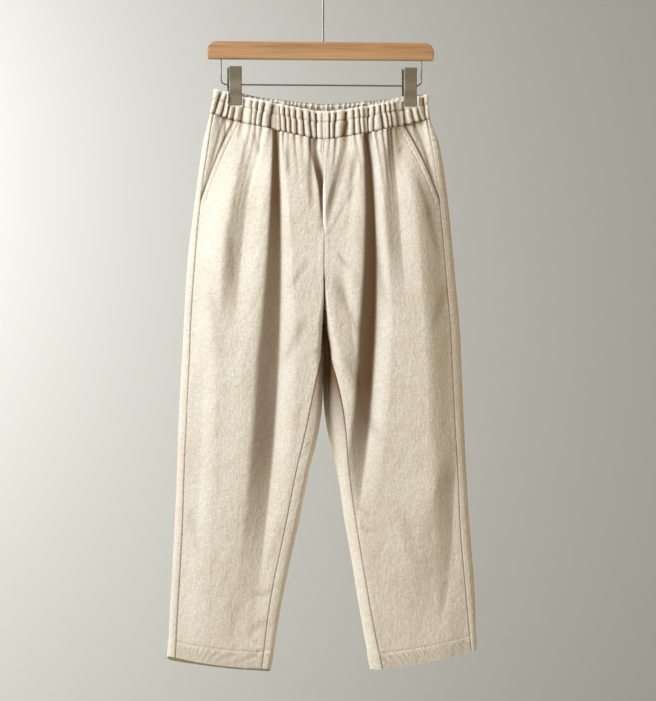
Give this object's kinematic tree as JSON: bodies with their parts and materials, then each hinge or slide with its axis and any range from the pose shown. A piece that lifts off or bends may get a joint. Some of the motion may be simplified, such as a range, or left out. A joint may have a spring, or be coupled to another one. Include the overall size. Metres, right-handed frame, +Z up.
{
  "type": "gathered tapered trousers with clip hanger",
  "caption": "Pull-on linen trousers with a gathered elastic waist, mock fly, slant pockets and tapered legs, hung flat from the two clips of a wooden bar hanger.",
  "frame": {"origin": "highest point inside the hook's crook, where it bears on a rail, straight above the stem", "axes": "+X to the right of someone looking at the front of the trousers, -Y out of that front, +Z up"},
  "size_m": [0.4941, 0.0808, 1.128],
  "materials": {
    "linen": "plain-woven linen and cotton, washed",
    "beech": "clear satin lacquer on fine straight grain",
    "wire_steel": "bright plated wire",
    "clip_steel": "satin plated plate"
  },
  "bodies": {
    "root": {"front_left": "linen", "back_left": "linen", "pocket_facing_left": "linen", "clip_left_front_jaw": "clip_steel", "clip_left_back_jaw": "clip_steel", "clip_left_spring": "wire_steel", "front_right": "linen", "back_right": "linen", "pocket_facing_right": "linen", "clip_right_front_jaw": "clip_steel", "clip_right_back_jaw": "clip_steel", "clip_right_spring": "wire_steel", "waistband_front": "linen", "waistband_back": "linen", "hanger_bar": "beech", "hanger_hook": "wire_steel", "clip_wire": "wire_steel"}
  },
  "joints": []
}
